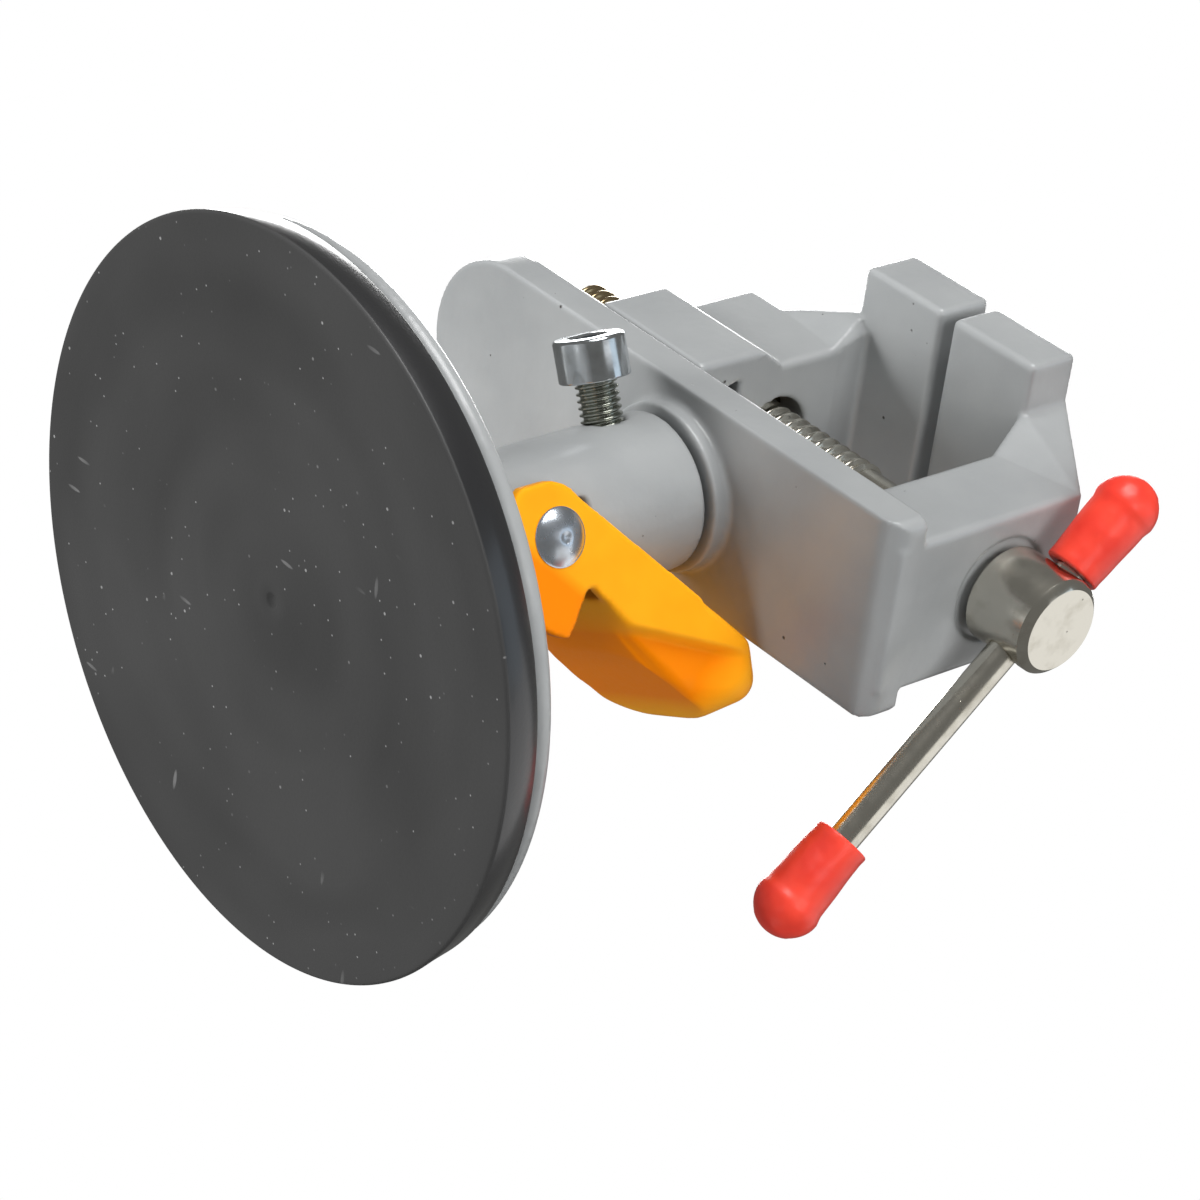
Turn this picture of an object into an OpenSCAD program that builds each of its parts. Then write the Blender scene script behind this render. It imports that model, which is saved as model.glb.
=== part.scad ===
// Small bench vise on a rubber suction base.
// The origin is the centre of the pad's underside. +Z runs up the column, and +X runs
// along the lead screw towards its hub. The base stands turned about Z below the head.

/* [Suction pad] */
// Radius of the rubber pad on the bench
pad_r = 42.5; // [38:0.5:50]
// Height of the pad's outer edge
pad_edge_h = 4.5; // [4:0.1:5.5]
// Thickness of the rubber over the dish
pad_web_t = 3; // [2:0.1:3.5]
// Depth of the dish at its centre
pad_dish_h = 1.4; // [0.6:0.1:1.8]
// Width of the flat ring that seals on the bench
pad_ring_w = 3.7; // [2:0.1:6]
// Radius of the boss that holds the stud's flange
pad_boss_r = 10; // [9:0.5:12]

/* [Base casting] */
// How far the rim stands back from the pad's edge
rim_inset = 1.3; // [1:0.1:1.8]
// Radius of the rounded rim bead
rim_bead_r = 1.4; // [1:0.05:1.5]
// Wall of the dome
dome_wall = 3; // [2:0.1:4]
// Radius of the flat ledge that the cams press on
ledge_r = 12; // [12:0.1:13]
// Radius of the column
column_r = 9.4; // [9:0.05:9.5]
// Height of the column's top
column_top_z = 54.7; // [54.7:0.1:55.5]
// Height of the clamp screw's axis
clamp_z = 49; // [48.5:0.5:50]
// Turn of the base below the head, in degrees
base_turn = 64; // [0:1:180]

/* [Cam lever] */
// Height of the lever's pivot at rest
pivot_z = 32; // [31:0.5:33]
// Angle of the raised lever, in degrees
lever_angle = 44.1; // [40:0.1:45]
// Swing of the lever down to its lock, in degrees
lever_swing = 70; // [60:1:70]
// Cam radius at rest
cam_r = 7.4; // [7:0.1:8]
// Lift of the stud for each radian of swing
cam_rise = 2.9; // [2:0.1:3]
// Distance of the lever's top face from the pivot
lever_top = 5.2; // [5:0.1:5.4]
// Thickness of each cheek
cheek_t = 1.7; // [1.5:0.05:2]
// Reach of the thumb end from the pivot
lever_reach = 34; // [31:0.1:34]
// Radius of the rivet's shank
rivet_r = 2; // [1.6:0.1:2.2]

/* [Clamp screw] */
// Radius of the clamp screw's thread
clamp_r = 2.5; // [2:0.1:3]
// Radius of its head
clamp_head_r = 4.2; // [4:0.05:4.5]
// Height of its head
clamp_head_h = 5; // [4:0.1:6]
// Width of its hex socket across the flats
clamp_hex = 4; // [3:0.5:5]
// Bare thread between the column and the head
clamp_bare = 4.7; // [1:0.05:5]

/* [Vise body] */
// Half the plate's width
plate_half_w = 12.5; // [11:0.5:14]
// Height of the plate's underside above the column's top
plate_above = 2.7; // [2.7:0.1:4]
// Thickness of the plate
plate_t = 4.7; // [4:0.1:6]
// Rear end of the plate, behind the column's axis
plate_rear = 45.6; // [45:0.1:52]
// Front face of the wall
wall_front_x = 36; // [34:0.5:36]
// Thickness of the wall at the front
wall_t = 11.8; // [10:0.1:13]
// Half the wall's width
wall_half_w = 9.6; // [8.5:0.1:11]
// Half the guide rail's width at its top
rail_half_w = 8.2; // [7:0.1:9]
// Rear end of the guide rail, behind the column's axis
rail_rear = 38.5; // [30:0.5:39]
// Height of the guide rail above the plate
rail_h = 6.3; // [5:0.1:7]
// Height of the lead screw's axis above the plate
screw_above = 13.4; // [13.4:0.1:15]

/* [Jaws] */
// Half the jaws' length
jaw_half_w = 18.4; // [15:0.1:22]
// Height of the fixed jaw's underside above the lead screw's axis
jaw_above = 14.1; // [13.5:0.1:15.5]
// Height of the fixed jaw's block
fixed_jaw_h = 7.2; // [6:0.1:9]
// Depth of the fixed jaw's block
fixed_jaw_d = 13.5; // [10:0.1:14]
// Height of the moving jaw's block
moving_jaw_h = 8; // [6:0.1:9]
// Depth of the moving jaw's block
moving_jaw_d = 13.2; // [9:0.1:14]
// Place of the fixed jaw's gripping face
grip_x = 9; // [8:0.1:10]
// Opening between the jaws at rest
jaw_gap = 1.8; // [1.8:0.1:3]

/* [Lead screw] */
// Outer radius of the thread
thread_r = 4; // [3.5:0.1:4.2]
// Pitch of the thread
thread_pitch = 1.75; // [1.5:0.05:2]
// Radius of the plain shank
shank_r = 3.5; // [3:0.1:3.6]
// Radius of the hub
hub_r = 5.9; // [5.5:0.1:6.5]
// Length of the hub
hub_len = 9.8; // [8:0.1:11]

/* [T-bar] */
// Radius of the sliding bar
bar_r = 1.85; // [1.6:0.05:2.2]
// Length over both caps
bar_len = 65.7; // [60:0.1:80]
// Length of each cap
cap_len = 13.2; // [12:0.1:15]
// Greatest radius of each cap
cap_r = 4; // [3.6:0.1:4.2]
// Lean of the bar from the plumb line, in degrees
bar_lean = 42.3; // [0:0.1:90]

/* [Hidden] */
$fn = 96;

// Round solids inside a hull take fewer sides
soft_fn = 32;
edge_fn = 16;
// Overrun of every cut
over = 1;
// Gap between two faces that rest on each other
seat_gap = 0.05;
// Gap round a shaft that turns or slides
run_gap = 0.08;
// Gap between parts that pass each other
pass_gap = 0.3;
// Edge break of castings
edge_r = 0.8;
// Edge break of turned parts
turned_edge = 0.5;

// Pad
pad_draft = 0.7;
pad_lip = 0.4;
pad_rim_w = 4.5;
pad_boss_h = 3.8;
pad_steps = 12;
pad_web_z = pad_dish_h + pad_web_t;
pad_ring_r = pad_r - pad_lip - pad_ring_w;
pad_boss_top = pad_web_z + pad_boss_h;

// Stud in the column
stud_r = 4;
stud_flange_r = 7;
stud_flange_t = 1.5;
stud_flange_z = pad_web_z + 0.2 * stud_flange_t;
stud_above = 4.8;
stud_top_gap = 1.2;
lift = cam_rise * lever_swing * PI / 180;

// Casting
rim_z = pad_edge_h + seat_gap;
rim_r = pad_r - rim_inset;
rim_top_z = rim_z + 2 * rim_bead_r;
dome_foot_step = 0.4;
dome_foot_r = rim_r - rim_bead_r - dome_foot_step;
dome_in_r = rim_r - pad_rim_w;
bell_share = 2.6;
bell_steps = 20;
ledge_gap = 0.15;
ledge_z = pivot_z - cam_r - ledge_gap;
guide_low_z = pad_boss_top + lift + stud_flange_t;
guide_r = column_r - edge_r;
slot_side_gap = 1.2;
slot_half_w = rivet_r + slot_side_gap;
slot_end_gap = 0.8;

// Spigot of the head in the column
spigot_r = 5.5;
spigot_gap = 0.1;
spigot_z = pivot_z + stud_above + lift + stud_top_gap;
spigot_bore_z = spigot_z - over;
spigot_groove_gap = 0.3;
spigot_groove_h = 2 * clamp_r + 2 * spigot_groove_gap;
spigot_groove_d = 0.65;
boss_r = 10.1;
boss_gap = 0.5;

// Lever
cheek_in = column_r + pass_gap;
cheek_out = cheek_in + cheek_t;
cam_steps = 24;
head_steps = 8;
heel = 1.1;
wall_low = 2.3;
neck_u = 6.6;
lever_edge = 1.2;
thumb_inset = 0.04;
thumb_half_w = cheek_out - thumb_inset;
column_gap = 0.4;
ball_gap = 0.5;

// Plate and head
plate_z = column_top_z + plate_above;
plate_top_z = plate_z + plate_t;
screw_z = plate_top_z + screw_above;
jaw_low_z = screw_z + jaw_above;
plate_round = 1.5;
plate_sill = 3;
rail_under = 1.6;
rail_front_x = 1.5;
wall_in_x = wall_front_x - wall_t;
wall_above = 11;
wall_top_z = screw_z + wall_above;
neck_above = 8.2;
neck_z = screw_z + neck_above;
fixed_jaw_x = grip_x + fixed_jaw_d;
brace_half_w = 12.2;
brace_edge = 0.4;
spot_side_gap = 0.7;
spot_r = hub_r + spot_side_gap;
spot_d = 0.5;

// Moving jaw
jaw_face_x = grip_x - jaw_gap;
moving_rear_x = jaw_face_x - moving_jaw_d;
moving_jaw_drop = 0.1;
moving_low_z = jaw_low_z - moving_jaw_drop;
slide_gap = 0.2;
jaw_front_x = -3.2;
foot_len = 18.5;
foot_below = 3.1;
foot_top_z = screw_z - foot_below;
house_len = 17;
shoulder_h = 2.9;
shoulder_z = foot_top_z + shoulder_h;
house_half_w = 9.9;
house_above = 9.9;
house_top_z = screw_z + house_above;
house_slope = 6;
groove_side = 1;
groove_low_side = 0.35;
groove_top = 0.6;
nut_side = 13;
nut_t = 6;
nut_front_x = -8;
nut_gap = 0.1;
screw_hole_gap = 1.2;
screw_hole_r = thread_r + screw_hole_gap;

// Lead screw
root_share = 0.05;
crest_share = 0.45;
thread_depth = 0.75;
thread_front_x = 12;
thread_rear_x = -39.6;
hub_gap = 0.6;
hub_x = wall_front_x - spot_d + hub_gap;
hub_edge = 0.8;
bar_set = 5.7;
bar_x = hub_x + bar_set;
clip_t = 1;
clip_gap = 0.2;
clip_r = 6;
clip_groove_d = 0.7;
clip_groove_r = shank_r - clip_groove_d;

// T-bar
bar_hole_gap = 0.1;
cap_mouth_r = 3.35;
cap_shoulder_r = 3.85;
cap_barrel = cap_len - cap_r;
cap_touch = 0.3;
upper_mouth = hub_r + cap_touch;
lower_mouth = bar_len - 2 * cap_len - upper_mouth;
cap_sink = cap_barrel - over;

// Height of the bell shaped dome at radius r
function bell(r, foot_r, top_r, foot_z, top_z) =
    foot_z + (top_z - foot_z) * pow((foot_r - r) / (foot_r - top_r), bell_share);

// Points of the bell from its foot to its top
function bell_points(foot_r, top_r, foot_z, top_z) = [
    for (i = [0 : bell_steps])
        let (r = foot_r + (top_r - foot_r) * i / bell_steps)
        [r, bell(r, foot_r, top_r, foot_z, top_z)]];

// Ridges of a thread seen in section, from z0 up to z1
function ridges(r, depth, pitch, z0, z1) = [
    for (i = [0 : floor((z1 - z0) / pitch) - 1])
        for (p = [[r - depth, root_share], [r, crest_share],
            [r, 1 - crest_share], [r - depth, 1 - root_share]])
            [p[0], z0 + (i + p[1]) * pitch]];

// Point of the cam whose normal has turned by a degrees from straight down.
// The cam's support distance grows evenly, so the stud rises evenly.
function cam_point(a) =
    let (h = cam_r + cam_rise * a * PI / 180)
    [h * sin(a) + cam_rise * cos(a), cam_rise * sin(a) - h * cos(a)];

// Place in the lever's side view, from a distance along it and one square to it
function along(u, w) = [
    u * cos(lever_angle) - w * sin(lever_angle),
    u * sin(lever_angle) + w * cos(lever_angle)];

// Turns a child from the lever's direction into the frame of the head
module on_base() {
    rotate([0, 0, base_turn]) children();
}

// Box with rounded edges between two corners
module soft_box(low, high, r) {
    hull()
        for (x = [low[0] + r, high[0] - r], y = [low[1] + r, high[1] - r], z = [low[2] + r, high[2] - r])
            translate([x, y, z]) sphere(r, $fn = edge_fn);
}

// Box between two corners
module box(low, high) {
    translate(low) cube(high - low);
}

// Disc with a rounded edge, lying flat at height z
module soft_disc(r, z, edge) {
    translate([0, 0, z])
        rotate_extrude($fn = soft_fn) {
            translate([r - edge, 0]) circle(edge, $fn = soft_fn);
            translate([0, -edge]) square([r - edge, 2 * edge]);
        }
}

module suction_pad() {
    dish = [for (i = [0 : pad_steps])
        let (s = i / pad_steps) [s * pad_ring_r, pad_dish_h * (1 - s * s)]];
    top = [for (i = [0 : pad_steps])
        let (s = 1 - i / pad_steps, r = pad_boss_r + s * (pad_r - pad_rim_w - over - pad_boss_r))
        [r, pad_web_t + pad_dish_h * (1 - pow(r / pad_ring_r, 2))]];
    color("#202022")
        rotate_extrude()
            polygon(concat(
                dish,
                [
                    [pad_r - pad_lip, 0], [pad_r, pad_lip], [pad_r - pad_draft, pad_edge_h],
                    [pad_r - pad_rim_w, pad_edge_h]],
                top,
                [
                    [pad_boss_r - pad_draft, pad_boss_top],
                    [stud_r + seat_gap, pad_boss_top],
                    [stud_r + seat_gap, stud_flange_z + stud_flange_t + seat_gap],
                    [stud_flange_r + seat_gap, stud_flange_z + stud_flange_t + seat_gap],
                    [stud_flange_r + seat_gap, stud_flange_z - seat_gap],
                    [0, stud_flange_z - seat_gap]]));
}

// Rim, dome and ledge in section
module base_section() {
    bead = [for (i = [0 : head_steps])
        let (a = -90 + 180 * i / head_steps)
        [rim_r - rim_bead_r + rim_bead_r * cos(a), rim_z + rim_bead_r + rim_bead_r * sin(a)]];
    inner = bell_points(dome_in_r, ledge_r - dome_wall, rim_z, ledge_z - dome_wall);
    polygon(concat(
        bead,
        bell_points(dome_foot_r, ledge_r, rim_top_z, ledge_z),
        [[guide_r, ledge_z], [guide_r, ledge_z - dome_wall]],
        [for (i = [0 : bell_steps]) inner[bell_steps - i]]));
}

// Slot in the column that the rivet rises in
module rivet_slot() {
    low = pivot_z - rivet_r - slot_end_gap;
    high = pivot_z + lift + rivet_r + slot_end_gap;
    box([-slot_half_w, -column_r - over, low], [slot_half_w, column_r + over, high]);
}

module base_casting() {
    color("#b9babc")
        on_base()
            difference() {
                union() {
                    rotate_extrude() base_section();
                    translate([0, 0, guide_low_z]) cylinder(h = ledge_z - guide_low_z, r = guide_r);
                    translate([0, 0, ledge_z - over])
                        cylinder(h = column_top_z - turned_edge - ledge_z + over, r = column_r);
                    translate([0, 0, column_top_z - turned_edge])
                        cylinder(h = turned_edge, r1 = column_r, r2 = column_r - turned_edge);
                }
                translate([0, 0, guide_low_z - over])
                    cylinder(h = column_top_z - guide_low_z, r = stud_r + run_gap);
                translate([0, 0, spigot_bore_z])
                    cylinder(h = column_top_z - spigot_bore_z + over, r = spigot_r + spigot_gap);
                rivet_slot();
                translate([0, 0, clamp_z])
                    rotate([0, -90, 0]) cylinder(h = column_r + over, r = clamp_r + seat_gap);
            }
}

module plunger_stud() {
    color("#c3c6c9")
        on_base()
            difference() {
                union() {
                    translate([0, 0, stud_flange_z]) cylinder(h = stud_flange_t, r = stud_flange_r);
                    translate([0, 0, stud_flange_z])
                        cylinder(h = pivot_z + stud_above - turned_edge - stud_flange_z, r = stud_r);
                    translate([0, 0, pivot_z + stud_above - turned_edge])
                        cylinder(h = turned_edge, r1 = stud_r, r2 = stud_r - turned_edge);
                }
                translate([0, 0, pivot_z])
                    rotate([90, 0, 0]) cylinder(h = 3 * stud_r, r = rivet_r + seat_gap, center = true);
            }
}

module pivot_rivet() {
    head_r = 1.7 * rivet_r;
    head_h = 0.6 * rivet_r;
    dimple_r = 0.55 * rivet_r;
    dimple_d = 0.2 * rivet_r;
    dome_r = (head_r * head_r + head_h * head_h) / (2 * head_h);
    reach = cheek_out + seat_gap;
    dome = [for (i = [0 : head_steps])
        let (r = dimple_r + (head_r - dimple_r) * i / head_steps)
        [r, reach + head_h - dome_r + sqrt(dome_r * dome_r - r * r)]];
    half = concat([[0, dome[0][1] - dimple_d]], dome, [[rivet_r, reach]]);
    last = len(half) - 1;
    lower = [for (i = [0 : last]) [half[last - i][0], -half[last - i][1]]];
    color("#c9ccce")
        on_base()
            translate([0, 0, pivot_z])
                rotate([90, 0, 0])
                    rotate_extrude()
                        polygon(concat(half, lower));
}

// Side view of one cheek: round head, cam, neck and the lower edge of the wall
module cheek_section() {
    top_a = 90 + lever_angle;
    heel_x = lever_top + heel;
    heel_z = sqrt(cam_r * cam_r - heel_x * heel_x);
    heel_a = asin(heel_x / cam_r);
    head = [for (i = [0 : head_steps])
        let (a = top_a + (180 - top_a) * i / head_steps, r = lever_top + heel * i / head_steps)
        [r * cos(a), r * sin(a)]];
    round_cam = [for (i = [0 : head_steps])
        let (a = -90 - heel_a + heel_a * i / head_steps) cam_r * [cos(a), sin(a)]];
    lift_cam = [for (i = [0 : cam_steps]) cam_point(lever_swing * i / cam_steps)];
    nose = lift_cam[cam_steps];
    nose_share = 0.9;
    crease_share = 0.55;
    polygon(concat(
        head,
        [[-heel_x, -heel_z]],
        round_cam,
        lift_cam,
        [
            [nose_share * nose[0], nose[1] + heel],
            along(neck_u, -wall_low - 0.5 * heel),
            along(neck_u + 0.5 * heel, -wall_low + 0.3 * heel),
            along(neck_u + 2 * heel, -wall_low),
            along(2 * cam_r, -wall_low),
            along(2.5 * cam_r, -crease_share * wall_low),
            along(3 * cam_r, 0),
            along(3 * cam_r, lever_top - lever_edge),
            along(3 * cam_r - lever_edge, lever_top)]));
}

// Thumb end of the lever in the lever's own frame: +X along it, +Z square to its top.
// It stays a hair inside the cheeks' faces.
module thumb_body() {
    top_w = lever_top - thumb_inset;
    low_w = thumb_inset - wall_low;
    ball_r = 0.26 * thumb_half_w;
    ball_z = 0.13 * lever_top;
    top_reach = lever_reach - 0.5 * lever_top;
    belly_reach = lever_reach - 0.18 * lever_top;
    belly_r = 0.74 * thumb_half_w;
    belly_z = -0.85 * lever_top;
    rear = 1.3 * cam_r;
    inset = lever_edge / 2;
    hull() {
        for (s = [-1, 1]) {
            translate([top_reach - ball_r, s * (thumb_half_w - ball_r), 0])
                soft_disc(ball_r, top_w - lever_edge, lever_edge);
            translate([lever_reach - ball_r, s * (thumb_half_w - ball_r), ball_z])
                sphere(ball_r, $fn = soft_fn);
            translate([belly_reach - belly_r, s * (thumb_half_w - belly_r), 0])
                soft_disc(belly_r, belly_z + lever_edge, lever_edge);
        }
        box([rear, -thumb_half_w, low_w], [rear + over, thumb_half_w, top_w - inset]);
        box([rear, inset - thumb_half_w, 0], [rear + over, thumb_half_w - inset, top_w]);
    }
}

// Space that the column sweeps in the lever's frame, from raised to locked
module column_sweep() {
    r = column_r + column_gap;
    sphere(column_r + ball_gap);
    for (a = [0, lever_swing])
        rotate([0, a + lever_angle - 2 * a, 0])
            cylinder(h = 12 * cam_r, r = r, center = true);
}

module cam_lever() {
    color("#f28a17")
        on_base()
            translate([0, 0, pivot_z])
                difference() {
                    union() {
                        for (s = [-1, 1])
                            translate([0, s * (cheek_in + cheek_t / 2) + cheek_t / 2, 0])
                                rotate([90, 0, 0]) linear_extrude(cheek_t) cheek_section();
                        rotate([0, -lever_angle, 0])
                            difference() {
                                thumb_body();
                                column_sweep();
                            }
                    }
                    rotate([90, 0, 0])
                        cylinder(h = 2 * cheek_out + 2 * over, r = rivet_r + seat_gap, center = true);
                }
}

module clamp_screw() {
    tip = spigot_r - spigot_groove_d + seat_gap;
    seat = column_r + clamp_bare;
    end = seat + clamp_head_h;
    pitch = 0.32 * clamp_r;
    depth = 0.17 * clamp_r;
    socket_r = clamp_hex / sqrt(3);
    socket_d = clamp_head_h / 2;
    point = clamp_r - 2 * depth;
    color("#aeb4bb")
        on_base()
            translate([0, 0, clamp_z])
                rotate([0, -90, 0])
                    difference() {
                        rotate_extrude()
                            polygon(concat(
                                [[0, tip], [point, tip]],
                                ridges(clamp_r, depth, pitch, tip + pitch, seat),
                                [
                                    [clamp_r - depth, seat], [clamp_head_r, seat],
                                    [clamp_head_r, end - turned_edge],
                                    [clamp_head_r - turned_edge, end], [0, end]]));
                        translate([0, 0, end - socket_d])
                            cylinder(h = socket_d + over, r = socket_r, $fn = 6);
                    }
}

// Plan of the plate, with its round rear end
module plate_plan() {
    rear_x = plate_half_w - plate_rear;
    corner_x = wall_front_x - plate_round;
    corner_y = plate_half_w - plate_round;
    translate([rear_x, 0]) circle(plate_half_w);
    translate([rear_x, -plate_half_w]) square([corner_x - rear_x, 2 * plate_half_w]);
    translate([corner_x - over, -corner_y]) square([plate_round + over, 2 * corner_y]);
    for (s = [-1, 1])
        translate([corner_x, s * corner_y]) circle(plate_round);
}

// Side view of the plate, with the round sill below the wall
module plate_side() {
    sill_x = wall_front_x - plate_sill;
    translate([-plate_rear - over, plate_z]) square([sill_x + plate_rear + over, plate_t]);
    translate([sill_x - over, plate_z + plate_sill]) square([plate_sill + over, plate_t - plate_sill]);
    translate([sill_x, plate_z + plate_sill]) circle(plate_sill);
}

// Guide rail in section, wider at its top than at its foot
module rail_section() {
    foot = rail_half_w - rail_under;
    polygon([
        [-foot, plate_top_z - over], [foot, plate_top_z - over],
        [foot, plate_top_z], [rail_half_w, plate_top_z + rail_h],
        [-rail_half_w, plate_top_z + rail_h], [-foot, plate_top_z]]);
}

// Brace between a jaw and what carries it
module brace(inner_x, outer_x, rear_x, low_z, high_z, half_w, neck_w, top_z) {
    r = brace_edge;
    side = sign(outer_x - inner_x);
    hull()
        for (s = [-1, 1]) {
            translate([inner_x + side * r, s * (neck_w - r), neck_z]) sphere(r, $fn = edge_fn);
            translate([outer_x - side * r, s * (neck_w - r), top_z - r]) sphere(r, $fn = edge_fn);
            translate([rear_x - side * r, s * (half_w - r), low_z + r]) sphere(r, $fn = edge_fn);
            translate([rear_x - side * r, s * (half_w - r), high_z - r]) sphere(r, $fn = edge_fn);
        }
}

module vise_body() {
    color("#b9babc")
        difference() {
            union() {
                intersection() {
                    translate([0, 0, plate_z]) linear_extrude(plate_t) plate_plan();
                    rotate([90, 0, 0])
                        linear_extrude(2 * plate_half_w + 2 * over, center = true) plate_side();
                }
                translate([rail_front_x, 0, 0])
                    rotate([90, 0, -90]) linear_extrude(rail_front_x + rail_rear) rail_section();
                translate([0, 0, spigot_z]) cylinder(h = plate_z - spigot_z + over, r = spigot_r);
                translate([0, 0, column_top_z + boss_gap])
                    cylinder(h = plate_z - column_top_z - boss_gap + over, r = boss_r);
                soft_box(
                    [wall_in_x, -wall_half_w, plate_z + over],
                    [wall_front_x, wall_half_w, wall_top_z], edge_r);
                brace(
                    wall_in_x, wall_front_x, fixed_jaw_x,
                    jaw_low_z, jaw_low_z + fixed_jaw_h, brace_half_w, wall_half_w, wall_top_z);
                soft_box(
                    [grip_x, -jaw_half_w, jaw_low_z],
                    [fixed_jaw_x, jaw_half_w, jaw_low_z + fixed_jaw_h], edge_r);
            }
            translate([0, 0, clamp_z - spigot_groove_h / 2])
                difference() {
                    cylinder(h = spigot_groove_h, r = spigot_r + over);
                    translate([0, 0, -over])
                        cylinder(h = spigot_groove_h + 2 * over, r = spigot_r - spigot_groove_d);
                }
            translate([wall_in_x - over, 0, screw_z])
                rotate([0, 90, 0]) cylinder(h = wall_t + 2 * over, r = shank_r + run_gap);
            translate([wall_front_x - spot_d, 0, screw_z])
                rotate([0, 90, 0]) cylinder(h = spot_d + over, r = spot_r);
        }
}

// Groove of the moving jaw that hooks over the guide rail
module groove_section() {
    low_z = plate_top_z + slide_gap;
    top_z = plate_top_z + rail_h + groove_top;
    foot = rail_half_w - rail_under + groove_low_side;
    polygon([
        [-foot, low_z - over], [foot, low_z - over], [foot, low_z],
        [rail_half_w + groove_side, top_z], [-rail_half_w - groove_side, top_z], [-foot, low_z]]);
}

// Slopes between the moving jaw's foot and its housing
module shoulder_section() {
    polygon([
        [-plate_half_w + edge_r, foot_top_z - edge_r], [plate_half_w - edge_r, foot_top_z - edge_r],
        [plate_half_w - edge_r / 2, foot_top_z], [house_half_w, shoulder_z],
        [-house_half_w, shoulder_z], [edge_r / 2 - plate_half_w, foot_top_z]]);
}

module moving_jaw() {
    foot_rear_x = jaw_front_x - foot_len;
    house_rear_x = jaw_front_x - house_len;
    pocket = nut_side / 2 + nut_gap;
    color("#b9babc")
        difference() {
            union() {
                soft_box(
                    [foot_rear_x, -plate_half_w, plate_top_z + slide_gap],
                    [jaw_front_x, plate_half_w, foot_top_z], edge_r);
                soft_box(
                    [house_rear_x, -house_half_w, plate_top_z + rail_h],
                    [jaw_front_x, house_half_w, house_top_z], edge_r);
                brace(
                    jaw_front_x, house_rear_x + house_slope, moving_rear_x,
                    moving_low_z, moving_low_z + moving_jaw_h,
                    brace_half_w, house_half_w, house_top_z);
                translate([house_rear_x, 0, 0])
                    rotate([90, 0, 90]) linear_extrude(house_len) shoulder_section();
                soft_box(
                    [moving_rear_x, -jaw_half_w, moving_low_z],
                    [jaw_face_x, jaw_half_w, moving_low_z + moving_jaw_h], edge_r);
            }
            translate([foot_rear_x - over, 0, 0])
                rotate([90, 0, 90]) linear_extrude(foot_len + 2 * over + house_slope) groove_section();
            translate([foot_rear_x - over, 0, screw_z])
                rotate([0, 90, 0]) cylinder(h = foot_len + 2 * over, r = screw_hole_r);
            box(
                [nut_front_x - nut_t - nut_gap, -pocket, plate_top_z + rail_h],
                [nut_front_x + nut_gap, pocket, screw_z + pocket]);
        }
}

module jaw_nut() {
    color("#c7b98f")
        difference() {
            box(
                [nut_front_x - nut_t, -nut_side / 2, screw_z - nut_side / 2],
                [nut_front_x, nut_side / 2, screw_z + nut_side / 2]);
            translate([nut_front_x - nut_t - over, 0, screw_z])
                rotate([0, 90, 0]) cylinder(h = nut_t + 2 * over, r = thread_r + seat_gap);
        }
}

module lead_screw() {
    hub_end = hub_x + hub_len;
    groove_front = wall_in_x - clip_gap + seat_gap;
    groove_rear = groove_front - clip_t - 2 * seat_gap;
    color("#c9c3b4")
        difference() {
            translate([0, 0, screw_z])
                rotate([0, 90, 0])
                    rotate_extrude()
                        polygon(concat(
                            [[0, thread_rear_x], [thread_r - 2 * thread_depth, thread_rear_x]],
                            ridges(
                                thread_r, thread_depth, thread_pitch,
                                thread_rear_x + thread_depth, thread_front_x),
                            [
                                [shank_r, thread_front_x],
                                [shank_r, groove_rear], [clip_groove_r, groove_rear],
                                [clip_groove_r, groove_front], [shank_r, groove_front],
                                [shank_r, hub_x], [hub_r - hub_edge, hub_x],
                                [hub_r, hub_x + hub_edge], [hub_r, hub_end - hub_edge],
                                [hub_r - hub_edge, hub_end], [0, hub_end]]));
            translate([bar_x, 0, screw_z])
                rotate([bar_lean, 0, 0])
                    cylinder(h = 2 * hub_r + 2 * over, r = bar_r + bar_hole_gap, center = true);
        }
}

// Open ring that snaps into the shank's groove
module screw_clip() {
    mouth = 1.6 * clip_groove_r;
    color("#8d9094")
        translate([wall_in_x - clip_gap - clip_t, 0, screw_z])
            rotate([0, 90, 0])
                difference() {
                    cylinder(h = clip_t, r = clip_r);
                    translate([0, 0, -over])
                        cylinder(h = clip_t + 2 * over, r = clip_groove_r + seat_gap);
                    box([-mouth / 2, 0, -over], [mouth / 2, clip_r + over, clip_t + over]);
                }
}

// Places a child on the bar's axis, with +Z towards its upper end
module on_bar() {
    translate([bar_x, 0, screw_z])
        rotate([bar_lean, 0, 0]) children();
}

module t_bar() {
    top = upper_mouth + cap_sink;
    bottom = lower_mouth + cap_sink;
    color("#cfcdc6")
        on_bar()
            rotate_extrude()
                polygon([
                    [0, -bottom], [bar_r - turned_edge, -bottom], [bar_r, turned_edge - bottom],
                    [bar_r, top - turned_edge], [bar_r - turned_edge, top], [0, top]]);
}

// Soft cap, from its mouth at height 0 up to its dome
module cap_shape() {
    lip_h = 0.25 * cap_r;
    dome = [for (i = [0 : head_steps])
        let (a = 90 * i / head_steps) [cap_r * cos(a), cap_barrel + cap_r * sin(a)]];
    difference() {
        rotate_extrude()
            polygon(concat(
                [
                    [0, 0], [cap_mouth_r, 0],
                    [cap_shoulder_r - 0.5 * lip_h, cap_barrel - 1.5 * lip_h],
                    [cap_shoulder_r, cap_barrel - lip_h]],
                dome));
        translate([0, 0, -over]) cylinder(h = cap_sink + over + seat_gap, r = bar_r + seat_gap);
    }
}

module tbar_cap_upper() {
    color("#c8202a")
        on_bar()
            translate([0, 0, upper_mouth]) cap_shape();
}

module tbar_cap_lower() {
    color("#c8202a")
        on_bar()
            rotate([180, 0, 0]) translate([0, 0, lower_mouth]) cap_shape();
}

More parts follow.
